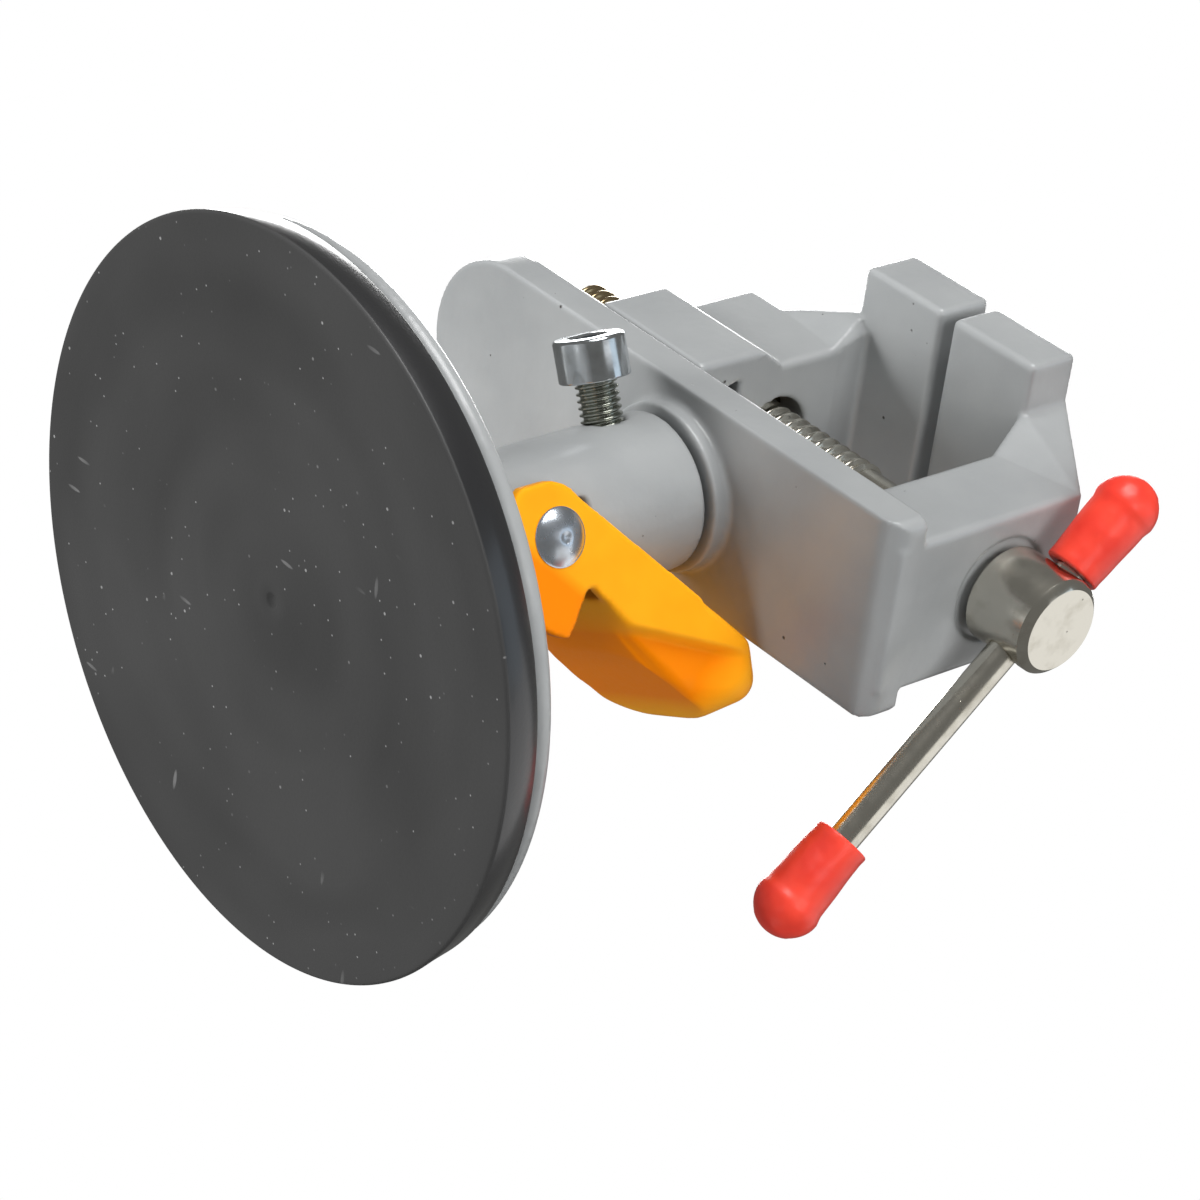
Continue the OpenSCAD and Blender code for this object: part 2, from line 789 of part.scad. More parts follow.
suction_pad();
base_casting();
plunger_stud();
pivot_rivet();
cam_lever();
clamp_screw();
vise_body();
moving_jaw();
jaw_nut();
lead_screw();
screw_clip();
t_bar();
tbar_cap_upper();
tbar_cap_lower();
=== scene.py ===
"""The looks of a suction base vise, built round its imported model.

Every length is in metres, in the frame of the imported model: the origin is the centre of the pad's
underside, +Z runs up the column and +X runs along the lead screw towards its hub.
"""

from __future__ import annotations

import logging
import math
from dataclasses import dataclass
from enum import Enum
from typing import Callable, Sequence

import bmesh
import bpy
from mathutils import Matrix, Vector, noise


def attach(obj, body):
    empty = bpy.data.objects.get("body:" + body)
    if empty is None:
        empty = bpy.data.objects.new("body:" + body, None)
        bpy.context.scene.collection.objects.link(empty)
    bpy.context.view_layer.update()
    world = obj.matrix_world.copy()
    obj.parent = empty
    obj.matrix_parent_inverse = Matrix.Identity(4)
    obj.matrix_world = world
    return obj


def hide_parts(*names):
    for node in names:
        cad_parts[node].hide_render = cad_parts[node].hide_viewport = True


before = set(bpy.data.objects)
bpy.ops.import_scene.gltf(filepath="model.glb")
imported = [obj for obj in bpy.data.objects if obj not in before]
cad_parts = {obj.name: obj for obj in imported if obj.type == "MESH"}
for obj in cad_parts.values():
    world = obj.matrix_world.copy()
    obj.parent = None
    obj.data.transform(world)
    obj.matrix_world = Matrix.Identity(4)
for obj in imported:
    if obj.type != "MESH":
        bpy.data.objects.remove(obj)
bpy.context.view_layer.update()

MM = 0.001

# The lever's direction about the column, the lead screw's height and the T-bar's lean
TURN = math.radians(64)
SCREW_Z = 75.5 * MM
LEAN = math.radians(42.3)

# How many rows of points a turn of a thread has
ROWS_PER_TURN = 14

# Angles in degrees above which an edge of a piece stays sharp
TURNED_CREASE = 38
BORED_CREASE = 32
CAST_CREASE = 80
SMOOTH_CREASE = 180

Span = tuple[float, float]
Triple = tuple[float, float, float]
Colour = Triple
Piece = bpy.types.Object
Outline = tuple[Span, ...]
Radius = float | Callable[[float], float]
Row = tuple[float, Radius]

log = logging.getLogger("vise")


# Shader maths


class Sum(Enum):
    """Operations of a Math node that a wire uses."""

    ADD = "ADD"
    SUBTRACT = "SUBTRACT"
    MULTIPLY = "MULTIPLY"
    POWER = "POWER"
    MAXIMUM = "MAXIMUM"


class Scatter(Enum):
    """The directions that scattered points are spread over."""

    SPACE = "3D"
    FLAT = "2D"


@dataclass(frozen=True)
class Marks:
    """Small marks that gather in patches.

    The gap is measured after the stretch. A mark begins and is full at two shares of the gap, and
    a patch at two values of its noise.
    """

    gap: float
    mark: Span
    patch: float
    noise: Span
    stretch: Triple = (1, 1, 1)
    strength: float = 1
    flat: Scatter = Scatter.SPACE


class Wire:
    """A number that varies over a surface: one output socket, with Python's operators."""

    def __init__(self, board: Board, socket: bpy.types.NodeSocket) -> None:
        """Keeps the board that the socket is on."""
        self.board = board
        self.socket = socket

    def _with(self, kind: Sum, first: object, second: object, clamp: bool = False) -> Wire:
        """Adds a Math node.

        Args:
            kind: The operation.
            first: The first number or wire.
            second: The second number or wire.
            clamp: Whether the result is kept between 0 and 1.

        Returns:
            The node's output as a wire.
        """
        sockets = {0: first, 1: second}
        return self.board.add("Math", sockets, operation=kind.value, use_clamp=clamp)

    def __add__(self, other: object) -> Wire:
        """Adds."""
        return self._with(Sum.ADD, self, other)

    __radd__ = __add__

    def __sub__(self, other: object) -> Wire:
        """Subtracts."""
        return self._with(Sum.SUBTRACT, self, other)

    def __rsub__(self, other: object) -> Wire:
        """Subtracts this wire from a number."""
        return self._with(Sum.SUBTRACT, other, self)

    def __mul__(self, other: object) -> Wire:
        """Multiplies."""
        return self._with(Sum.MULTIPLY, self, other)

    __rmul__ = __mul__

    def __pow__(self, other: object) -> Wire:
        """Raises to a power."""
        return self._with(Sum.POWER, self, other)

    def at_least(self, other: object) -> Wire:
        """Takes the larger of the two."""
        return self._with(Sum.MAXIMUM, self, other)

    def step(self, low: float, high: float) -> Wire:
        """Rises from 0 at low to 1 at high, and falls where low is above high.

        Args:
            low: Where the result is 0.
            high: Where the result is 1.

        Returns:
            The ramped wire, kept between 0 and 1.
        """
        return self._with(Sum.MULTIPLY, self - low, 1.0 / (high - low), clamp=True)


class Board:
    """The nodes of one material or of the world.

    A Mix node has inputs and outputs of one name for each type, so its colours go by number.
    """

    MIX_LOW = 6
    MIX_HIGH = 7
    MIX_COLOUR = 2

    def __init__(self, tree: bpy.types.NodeTree) -> None:
        """Clears the tree and starts on it."""
        self.tree = tree
        tree.nodes.clear()

    def add(
        self, kind: str, sockets: dict, out: int | str = 0, **settings: object,
    ) -> Wire:
        """Makes any node.

        Args:
            kind: The node's type, without ShaderNode before it.
            sockets: Values, wires or colours for its inputs, by name or number.
            out: The output that the wire stands for.
            settings: Its own settings.

        Returns:
            A wire on that output.
        """
        node = self.tree.nodes.new(f"ShaderNode{kind}")
        for name, value in settings.items():
            setattr(node, name, value)
        for name, value in sockets.items():
            self.feed(node.inputs[name], value)
        return Wire(self, node.outputs[out] if len(node.outputs) else None)

    def feed(self, socket: bpy.types.NodeSocket, value: object) -> None:
        """Links a wire to a socket, or sets the socket's own value.

        Args:
            socket: The input.
            value: A wire, a number or a colour.
        """
        if isinstance(value, Wire):
            self.tree.links.new(value.socket, socket)
        elif isinstance(value, (tuple, list)) and socket.type == "RGBA":
            socket.default_value = (*value[:3], 1.0)
        else:
            socket.default_value = value

    def place(self, scale: Sequence[float] = (1, 1, 1)) -> Wire:
        """Gives the place on the object in metres.

        Args:
            scale: How much each direction is stretched.

        Returns:
            The place as a wire.
        """
        here = self.add("TexCoord", {}, "Object")
        if tuple(scale) == (1, 1, 1):
            return here
        return self.add("VectorMath", {0: here, 1: tuple(scale)}, operation="MULTIPLY")

    def axis(self, letter: str) -> Wire:
        """Gives one coordinate of the place in metres."""
        return self.add("SeparateXYZ", {0: self.place()}, letter)

    def along(self, way: Sequence[float]) -> Wire:
        """Gives the place's distance along a direction from the origin, in metres."""
        sockets = {0: self.place(), 1: way}
        return self.add("VectorMath", sockets, "Value", operation="DOT_PRODUCT")

    def cloud(self, size: float, detail: float = 2, where: Wire | None = None) -> Wire:
        """Gives soft noise from 0 to 1.

        Args:
            size: The size of its blobs in metres.
            detail: How many finer layers it has.
            where: The place it reads, the object's own by default.

        Returns:
            The noise as a wire.
        """
        return self.add(
            "TexNoise", {"Vector": where or self.place(), "Scale": 1.0 / size, "Detail": detail})

    def cells(
        self, size: float, where: Wire | None = None, flat: Scatter = Scatter.SPACE,
    ) -> Wire:
        """Gives the distance to the nearest of scattered points, in cells of one size.

        Args:
            size: The size of a cell in metres.
            where: The place it reads, the object's own by default.
            flat: Whether the points are scattered in space or over X and Y alone.

        Returns:
            The distance as a wire.
        """
        return self.add(
            "TexVoronoi", {"Vector": where or self.place(), "Scale": 1.0 / size},
            voronoi_dimensions=flat.value)

    def strewn(self, marks: Marks) -> Wire:
        """Scatters small marks over the surface.

        Args:
            marks: What the marks are like.

        Returns:
            A wire from 0 to the marks' strength.
        """
        cells = self.cells(marks.gap, self.place(marks.stretch), marks.flat)
        patches = self.cloud(marks.patch, 1).step(*marks.noise)
        return cells.step(*marks.mark) * patches * marks.strength

    def blend(self, share: object, low: object, high: object) -> Wire:
        """Mixes two colours.

        Args:
            share: How much of the second shows, a number or a wire.
            low: The first colour.
            high: The second colour.

        Returns:
            The mixed colour as a wire.
        """
        sockets = {"Factor": share, self.MIX_LOW: low, self.MIX_HIGH: high}
        return self.add("Mix", sockets, self.MIX_COLOUR, data_type="RGBA")

    def bump(self, height: Wire, depth: float, under: Wire | None = None) -> Wire:
        """Turns a height into a normal.

        Args:
            height: The height, from 0 to 1.
            depth: How deep 1 is, in metres.
            under: A normal that this one adds to.

        Returns:
            The normal as a wire.
        """
        sockets = {"Height": height, "Distance": depth, "Strength": 1.0}
        if under is not None:
            sockets["Normal"] = under
        return self.add("Bump", sockets)

    def surface(self, sockets: dict) -> None:
        """Adds the surface shader with the material's output."""
        self.output(self.add("BsdfPrincipled", sockets))

    def output(self, shader: Wire) -> None:
        """Adds the material's output."""
        self.add("OutputMaterial", {"Surface": shader})


def new_material(name: str) -> tuple[bpy.types.Material, Board]:
    """Makes a material with no nodes.

    Args:
        name: The material's name.

    Returns:
        The material and its empty board.
    """
    material = bpy.data.materials.new(name)
    material.use_nodes = True
    return material, Board(material.node_tree)


# Finishes


@dataclass(frozen=True)
class Finish:
    """What every finish shares."""

    name: str
    slot: str

    def dress(self, board: Board) -> None:
        """Builds the nodes of the finish."""
        raise NotImplementedError

    def material(self) -> bpy.types.Material:
        """Makes the finish's material once.

        Returns:
            The material.
        """
        found = bpy.data.materials.get(self.name)
        if found is None:
            found, board = new_material(self.name)
            self.dress(board)
        return found


@dataclass(frozen=True)
class CastEnamel(Finish):
    """Silver grey enamel on a die casting: faint orange peel, pin holes, rubbed high spots."""

    tone: Colour = (0.295, 0.306, 0.31)
    worn: Colour = (0.345, 0.356, 0.358)
    dirt: Colour = (0.075, 0.07, 0.065)
    drift_size: float = 14 * MM
    mist_size: float = 0.35 * MM
    cast_size: float = 5 * MM
    cast_d: float = 0.16 * MM
    peel_size: float = 1.1 * MM
    peel_d: float = 0.022 * MM
    pin_gap: float = 6.5 * MM
    pin_d: float = 0.15 * MM
    fine_pins: Marks = Marks(2.6 * MM, (0.06, 0.03), 9 * MM, (0.56, 0.62))

    def dress(self, board: Board) -> None:
        """Builds the nodes of the finish.

        Args:
            board: The material's empty board.
        """
        drift = board.cloud(self.drift_size, 3)
        peel = board.cloud(self.peel_size)
        mist = board.cloud(self.mist_size, 1)
        pins = board.cells(self.pin_gap).step(0.04, 0.025)
        holes = pins.at_least(board.strewn(self.fine_pins))
        tone = board.blend(drift.step(0.35, 0.7), self.tone, self.worn)
        tone = board.blend(mist.step(0.35, 0.8) * 0.12, tone, self.worn)
        tone = board.blend(holes, tone, self.dirt)
        normal = board.bump(board.cloud(self.cast_size), self.cast_d)
        normal = board.bump(peel, self.peel_d, normal)
        normal = board.bump(1 - holes, self.pin_d, normal)
        board.surface({
            "Base Color": tone,
            "Roughness": 0.26 + 0.12 * peel + 0.3 * holes,
            "Coat Weight": 0.25 * drift.step(0.2, 0.6),
            "Coat Roughness": 0.22,
            "Normal": normal})


@dataclass(frozen=True)
class MouldedRubber(Finish):
    """Black rubber: faint rings from the mould, dust, hairline scratches, and a glossier side wall
    painted darker, painted shade.
    """

    tone: Colour = (0.037, 0.037, 0.037)
    faded: Colour = (0.054, 0.054, 0.054)
    dust: Colour = (0.3, 0.3, 0.3)
    # The side wall's darker colour is painted shade.
    painted_side_shade: Colour = (0.016, 0.016, 0.017)
    side_r: Span = (40.5 * MM, 40.8 * MM)
    side_z: Span = (0.25 * MM, 0.5 * MM)
    drift_size: float = 22 * MM
    fade_size: float = 12 * MM
    ring_gap: float = 2.2 * MM
    ring_d: float = 0.02 * MM
    grain_size: float = 0.45 * MM
    grain_d: float = 0.012 * MM
    specks: Marks = Marks(3.4 * MM, (0.042, 0.02), 7 * MM, (0.5, 0.62), flat=Scatter.FLAT)
    crumbs: Marks = Marks(9 * MM, (0.024, 0.014), 18 * MM, (0.48, 0.6), flat=Scatter.FLAT)
    scratches: Marks = Marks(
        1, (0.06, 0.04), 12 * MM, (0.6, 0.68), (180, 42, 300), 0.45, Scatter.FLAT)
    crosses: Marks = Marks(
        1, (0.055, 0.04), 15 * MM, (0.6, 0.7), (46, 230, 300), 0.45, Scatter.FLAT)

    def dress(self, board: Board) -> None:
        """Builds the nodes of the finish.

        Args:
            board: The material's empty board.
        """
        x, y, z = (board.axis(letter) for letter in "XYZ")
        radius = (x * x + y * y) ** 0.5
        drift = board.cloud(self.drift_size, 3)
        grain = board.cloud(self.grain_size)
        ringed = board.add("CombineXYZ", {0: radius, 1: z * 0.2})
        turned = board.add("CombineXYZ", {0: radius, 1: x * 0.35, 2: y * 0.35})
        fade = board.cloud(self.fade_size, 1, turned).step(0.35, 0.65)
        side = radius.step(*self.side_r) * z.step(*self.side_z)
        tone = board.blend(drift.step(0.3, 0.75) * 0.4 + 0.6 * fade, self.tone, self.faded)
        # The side wall is painted darker, painted shade; it is also glossier, with a coat, and kept
        # free of dust.
        tone = board.blend(side, tone, self.painted_side_shade)
        marks = board.strewn(self.specks)
        for others in (self.crumbs, self.scratches, self.crosses):
            marks = marks.at_least(board.strewn(others))
        tone = board.blend(marks * 0.8 * (1 - side), tone, self.dust)
        normal = board.bump(grain, self.grain_d)
        normal = board.bump(board.cloud(self.ring_gap, 2, ringed), self.ring_d, normal)
        board.surface({
            "Base Color": tone,
            "Roughness": 0.56 - 0.3 * side + 0.1 * grain,
            "Specular IOR Level": 0.45,
            "Coat Weight": 0.5 * side,
            "Coat Roughness": 0.18,
            "Normal": normal})


@dataclass(frozen=True)
class LeverFrame:
    """The raised lever's own directions: along it, across it and square to its top.

    The crease on its side walls lies level at crease_w, and climbs from crease_u on.
    """

    pivot: Vector = Vector((0, 0, 32 * MM))
    lean: float = math.radians(44.1)
    crease_w: float = -2.8 * MM
    crease_u: float = 14 * MM
    crease_slope: float = 0.4

    @property
    def u(self) -> Vector:
        """Gives the direction from the pivot to the thumb end."""
        level = math.cos(self.lean)
        return Vector((level * math.cos(TURN), level * math.sin(TURN), math.sin(self.lean)))

    @property
    def n(self) -> Vector:
        """Gives the direction of the pivot's axis."""
        return Vector((-math.sin(TURN), math.cos(TURN), 0))

    @property
    def w(self) -> Vector:
        """Gives the direction square to the lever's top."""
        return self.u.cross(self.n)


LEVER = LeverFrame()


@dataclass(frozen=True)
class MouldedPlastic(Finish):
    """Orange lever plastic: even colour, soft sink marks, a warm glow in its depth, and painted
    shade under the crease of its side walls.
    """

    tone: Colour = (0.98, 0.42, 0.012)
    deep: Colour = (0.93, 0.35, 0.008)
    # Painted shade under the crease of the side walls, where it fades in below the crease and where
    # it ends towards the thumb.
    painted_shade: Colour = (0.9, 0.23, 0.001)
    painted_shade_under: Span = (-0.3 * MM, 1.2 * MM)
    painted_shade_end: Span = (31 * MM, 27 * MM)
    drift_size: float = 9 * MM
    drift_d: float = 0.12 * MM
    grain_size: float = 0.5 * MM
    grain_d: float = 0.008 * MM
    speck_gap: float = 3.5 * MM

    def painted_belly_shade(self, board: Board) -> Wire:
        """Finds where shade is painted: the hollow under the crease of the side walls, ending
        towards the thumb end.

        Args:
            board: The material's board.

        Returns:
            A wire that is 1 in the hollow and 0 outside it.
        """
        u = board.along(LEVER.u) - LEVER.pivot.dot(LEVER.u)
        w = board.along(LEVER.w) - LEVER.pivot.dot(LEVER.w)
        crease = ((u - LEVER.crease_u) * LEVER.crease_slope).at_least(0) + LEVER.crease_w
        return (crease - w).step(*self.painted_shade_under) * u.step(*self.painted_shade_end)

    def dress(self, board: Board) -> None:
        """Builds the nodes of the finish.

        Args:
            board: The material's empty board.
        """
        drift = board.cloud(self.drift_size)
        grain = board.cloud(self.grain_size)
        specks = board.cells(self.speck_gap).step(0.04, 0.02) * 0.5
        tone = board.blend(drift.step(0.3, 0.75), self.tone, self.deep)
        tone = board.blend(specks, tone, self.deep)
        # The hollow under the crease is painted darker: painted shade.
        tone = board.blend(self.painted_belly_shade(board), tone, self.painted_shade)
        normal = board.bump(drift, self.drift_d)
        normal = board.bump(grain, self.grain_d, normal)
        board.surface({
            "Base Color": tone,
            "Roughness": 0.4 + 0.12 * grain,
            "Specular IOR Level": 0.35,
            "Specular Tint": (1.0, 0.5, 0.1),
            "Subsurface Weight": 0.04,
            "Subsurface Radius": (1.2 * MM, 0.3 * MM, 0.05 * MM),
            "Subsurface Scale": 1.0,
            "Normal": normal})


@dataclass(frozen=True)
class DippedVinyl(Finish):
    """Red dipped vinyl: soft gloss with slow ripples."""

    tone: Colour = (0.88, 0.062, 0.034)
    deep: Colour = (0.74, 0.038, 0.022)
    drift_size: float = 4 * MM
    ripple_size: float = 2.2 * MM
    ripple_d: float = 0.16 * MM
    grain_size: float = 0.3 * MM
    grain_d: float = 0.004 * MM

    def dress(self, board: Board) -> None:
        """Builds the nodes of the finish.

        Args:
            board: The material's empty board.
        """
        grain = board.cloud(self.grain_size, 1)
        tone = board.blend(board.cloud(self.drift_size).step(0.3, 0.7), self.tone, self.deep)
        normal = board.bump(board.cloud(self.ripple_size, 1), self.ripple_d)
        normal = board.bump(grain, self.grain_d, normal)
        board.surface({
            "Base Color": tone,
            "Roughness": 0.3 + 0.14 * grain,
            "Subsurface Weight": 0.1,
            "Subsurface Radius": (1.2 * MM, 0.2 * MM, 0.1 * MM),
            "Subsurface Scale": 1.0,
            "Normal": normal})


@dataclass(frozen=True)
class PlatedSteel(Finish):
    """Plated steel: bright, with turning marks, haze and small stains.

    A second tone may take over along one direction, over the span given. On the lead screw it is a
    tint at the tip; on the clamp screw it darkens the thread, partly as painted shade in its
    grooves and partly as a darker finish.
    """

    tone: Colour = (0.72, 0.69, 0.61)
    stain: Colour = (0.4, 0.36, 0.28)
    shine: float = 0.13
    grain_mm: Triple = (0.12, 1.5, 1.5)
    grain_d: float = 0.003 * MM
    haze_size: float = 3 * MM
    nick_d: float = 0.04 * MM
    nicks: Marks = Marks(1.9 * MM, (0.06, 0.03), 4 * MM, (0.5, 0.6))
    tint_and_shade: Colour = (0.5, 0.36, 0.17)
    tint_and_shade_way: Triple = (0, 0, 0)
    tint_and_shade_span: Span = (0.0, 1.0)

    def dress(self, board: Board) -> None:
        """Builds the nodes of the finish.

        Args:
            board: The material's empty board.
        """
        haze = board.cloud(self.haze_size, 3)
        lines = board.cloud(1, 2, board.place(tuple(1.0 / (size * MM) for size in self.grain_mm)))
        nicks = board.strewn(self.nicks)
        tone = board.blend(haze.step(0.5, 0.8) * 0.5, self.tone, self.stain)
        tone = board.blend(nicks * 0.6, tone, self.stain)
        # The second tone; on the clamp screw's thread it is partly painted shade.
        if any(self.tint_and_shade_way):
            share = board.along(self.tint_and_shade_way).step(*self.tint_and_shade_span)
            tone = board.blend(share * 0.85, tone, self.tint_and_shade)
        normal = board.bump(lines, self.grain_d)
        normal = board.bump(1 - nicks, self.nick_d, normal)
        board.surface({
            "Base Color": tone,
            "Metallic": 1.0,
            "Roughness": self.shine + 0.14 * haze.step(0.35, 0.8) + 0.05 * lines,
            "Normal": normal})


GREY = CastEnamel("grey_enamel", "grey_paint")
RUBBER = MouldedRubber("black_rubber", "pad_rubber")
ORANGE = MouldedPlastic("orange_lever", "orange_plastic")
RED = DippedVinyl("dipped_red", "red_vinyl")
NICKEL = PlatedSteel(
    "warm_nickel", "nickel", tint_and_shade_way=(-1, 0, 0), tint_and_shade_span=(29 * MM, 34 * MM))
NICKEL_BAR = PlatedSteel("warm_nickel_bar", "nickel", shine=0.16, grain_mm=(1.5, 1.5, 0.3))
ZINC = PlatedSteel(
    "bluish_zinc", "bright_zinc", tone=(0.74, 0.8, 0.88), stain=(0.4, 0.39, 0.37), shine=0.2,
    grain_mm=(1.2, 1.2, 0.2))
# The clamp screw's thread is darker: partly painted shade in its grooves, partly a darker finish.
ZINC_SCREW = PlatedSteel(
    "bluish_zinc_screw", "bright_zinc", tone=(0.66, 0.69, 0.71), stain=(0.3, 0.3, 0.28),
    shine=0.1, grain_mm=(1.2, 1.2, 0.2), tint_and_shade=(0.36, 0.37, 0.31),
    tint_and_shade_way=(-math.cos(TURN), -math.sin(TURN), 0), tint_and_shade_span=(14.05 * MM, 13.95 * MM))
YELLOW = PlatedSteel(
    "yellow_plating", "yellow_zinc", tone=(0.66, 0.55, 0.32), stain=(0.3, 0.22, 0.12))
SPRING = PlatedSteel(
    "clip_steel", "spring_steel", tone=(0.4, 0.4, 0.41), stain=(0.16, 0.15, 0.14), shine=0.3)


# Shapes


def shares(steps: int) -> list[float]:
    """Gives equal steps from 0 to 1."""
    return [step / steps for step in range(steps + 1)]


def linked(name: str, data: bpy.types.ID) -> Piece:
    """Makes an object of a mesh, a lamp or a camera, and puts it in the scene.

    Args:
        name: The object's name.
        data: What it holds.

    Returns:
        The object.
    """
    thing = bpy.data.objects.new(name, data)
    bpy.context.scene.collection.objects.link(thing)
    return thing


def smooth(data: bpy.types.Mesh, crease: float) -> None:
    """Shades a mesh smoothly up to a crease angle in degrees."""
    data.polygons.foreach_set("use_smooth", [True] * len(data.polygons))
    data.set_sharp_from_angle(angle=math.radians(crease))


def lathe(name: str, rows: Sequence[Row], columns: int, where: Matrix) -> Piece:
    """Turns rows of points about an axis into a closed piece.

    Args:
        name: The piece's name.
        rows: Heights along the axis with radii, which may vary with the angle. No two rows in
            succession are on the axis.
        columns: How many points each row has.
        where: Puts the turned shape, whose axis is Z, in its place.

    Returns:
        The new object, smooth with sharp edges kept.
    """
    mesh = bmesh.new()
    rings: list[list[bmesh.types.BMVert]] = []
    for height, radius in rows:
        if not callable(radius) and radius <= 0:
            rings.append([mesh.verts.new(where @ Vector((0, 0, height)))])
            continue
        ring = []
        for column in range(columns):
            angle = math.tau * column / columns
            reach = radius(angle) if callable(radius) else radius
            ring.append(mesh.verts.new(
                where @ Vector((reach * math.cos(angle), reach * math.sin(angle), height))))
        rings.append(ring)
    for low, high in zip(rings, rings[1:]):
        for column in range(columns):
            after = (column + 1) % columns
            if len(low) == 1:
                mesh.faces.new((low[0], high[after], high[column]))
            elif len(high) == 1:
                mesh.faces.new((low[column], low[after], high[0]))
            else:
                mesh.faces.new((low[column], low[after], high[after], high[column]))
    bmesh.ops.recalc_face_normals(mesh, faces=mesh.faces)
    return finished(name, mesh)


def finished(name: str, mesh: bmesh.types.BMesh) -> Piece:
    """Turns built faces into a smooth object with its sharp edges kept.

    Args:
        name: The object's name.
        mesh: The faces, which are used up.

    Returns:
        The object.
    """
    data = bpy.data.meshes.new(name)
    mesh.to_mesh(data)
    mesh.free()
    smooth(data, TURNED_CREASE)
    return linked(name, data)


def applied(piece: Piece, crease: float) -> Piece:
    """Applies a piece's modifiers and shades it again.

    Args:
        piece: The piece.
        crease: The angle in degrees above which an edge stays sharp.

    Returns:
        The same piece.
    """
    graph = bpy.context.evaluated_depsgraph_get()
    data = bpy.data.meshes.new_from_object(piece.evaluated_get(graph), depsgraph=graph)
    piece.modifiers.clear()
    piece.data = data
    smooth(data, crease)
    return piece


def softened(
    node: str, name: str, voxel: float, rounds: int, crease: float = CAST_CREASE,
) -> Piece:
    """Copies a solid and rounds its edges as casting or moulding does.

    Args:
        node: The solid's name.
        name: The piece's name.
        voxel: The size of the new mesh's squares, in metres.
        rounds: How many times the edges are eased.
        crease: The angle in degrees above which an edge stays sharp.

    Returns:
        The eased copy.
    """
    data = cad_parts[node].data.copy()
    data.materials.clear()
    piece = linked(name, data)
    weld = piece.modifiers.new("weld", "WELD")
    weld.merge_threshold = 0.001 * MM
    mesher = piece.modifiers.new("mesher", "REMESH")
    mesher.mode = "VOXEL"
    mesher.voxel_size = voxel
    easing = piece.modifiers.new("easing", "SMOOTH")
    easing.factor = 0.5
    easing.iterations = rounds
    return applied(piece, crease)


def carved(piece: Piece, cutter: Piece, crease: float) -> Piece:
    """Cuts one closed piece out of another and drops the cutter.

    Args:
        piece: What is cut.
        cutter: What cuts it.
        crease: The angle in degrees above which an edge stays sharp.

    Returns:
        The cut piece.
    """
    cut = piece.modifiers.new("cut", "BOOLEAN")
    cut.operation = "DIFFERENCE"
    cut.solver = "EXACT"
    cut.object = cutter
    applied(piece, crease)
    bpy.data.objects.remove(cutter)
    return piece


def arc_rows(
    z: float, r: float, size: float, start: float, stop: float, steps: int = 6,
) -> list[Row]:
    """Gives rows of a rounded edge.

    Args:
        z: Height of the rounding's centre.
        r: Distance of its centre from the axis.
        size: Its radius.
        start: Its first angle in degrees, where 0 points away from the axis.
        stop: Its last angle.
        steps: How many steps it has.

    Returns:
        The rows.
    """
    rows: list[Row] = []
    for share in shares(steps):
        angle = math.radians(start + (stop - start) * share)
        rows.append((z + size * math.sin(angle), r + size * math.cos(angle)))
    return rows


def thread_rows(
    low: float, high: float, outer: float, depth: float, pitch: float, fade: float,
) -> list[Row]:
    """Gives rows of a right-handed thread, as radii that turn with the angle.

    Args:
        low: Where it starts.
        high: Where it ends.
        outer: The crest's radius.
        depth: How far the root lies below it.
        pitch: The advance of a turn.
        fade: The length over which it runs out at its upper end.

    Returns:
        The rows.
    """

    def radius_at(height: float) -> Callable[[float], float]:
        """Draws the thread at one height.

        Args:
            height: The height along the axis.

        Returns:
            The radius as a function of the angle.
        """
        cut = depth * min(1.0, max(0.0, (high - height) / fade))
        turned = math.tau * (height - low) / pitch
        return lambda angle: outer - cut * (1 - eased(0.5 - 0.5 * math.cos(turned - angle)))

    count = round((high - low) / pitch * ROWS_PER_TURN)
    heights = [low + (high - low) * share for share in shares(count)]
    return [(height, radius_at(height)) for height in heights]


def eased(share: float) -> float:
    """Gives a soft step that is 0 below 0 and 1 above 1."""
    share = min(1.0, max(0.0, share))
    return share * share * (3 - 2 * share)


def hexagon(flats: float) -> Callable[[float], float]:
    """Gives the radius of a hexagon with this width across its flats."""
    return lambda angle: flats / 2 / math.cos(angle % (math.pi / 3) - math.pi / 6)


def on_base() -> Matrix:
    """Turns the lever's direction into the frame."""
    return Matrix.Rotation(TURN, 4, "Z")


def report(piece: Piece, body: str, finish: Finish, *nodes: str) -> None:
    """Dresses a piece, hides the solids that it replaces, lets it ride on its body and logs it.

    Args:
        piece: The piece.
        body: The body that it rides on.
        finish: Its finish.
        nodes: The solids that it replaces, if any.
    """
    piece.data.materials.clear()
    piece.data.materials.append(finish.material())
    if nodes:
        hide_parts(*nodes)
    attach(piece, body)
    log.info("%s rides on %s, %d faces", piece.name, body, len(piece.data.polygons))


def dress_node(node: str, finish: Finish) -> None:
    """Gives a solid that stays its finish.

    Args:
        node: The solid's name.
        finish: Its finish.
    """
    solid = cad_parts[node]
    solid.data.materials.clear()
    solid.data.materials.append(finish.material())
    log.info("%s keeps its solid", node)


# Sub-assemblies


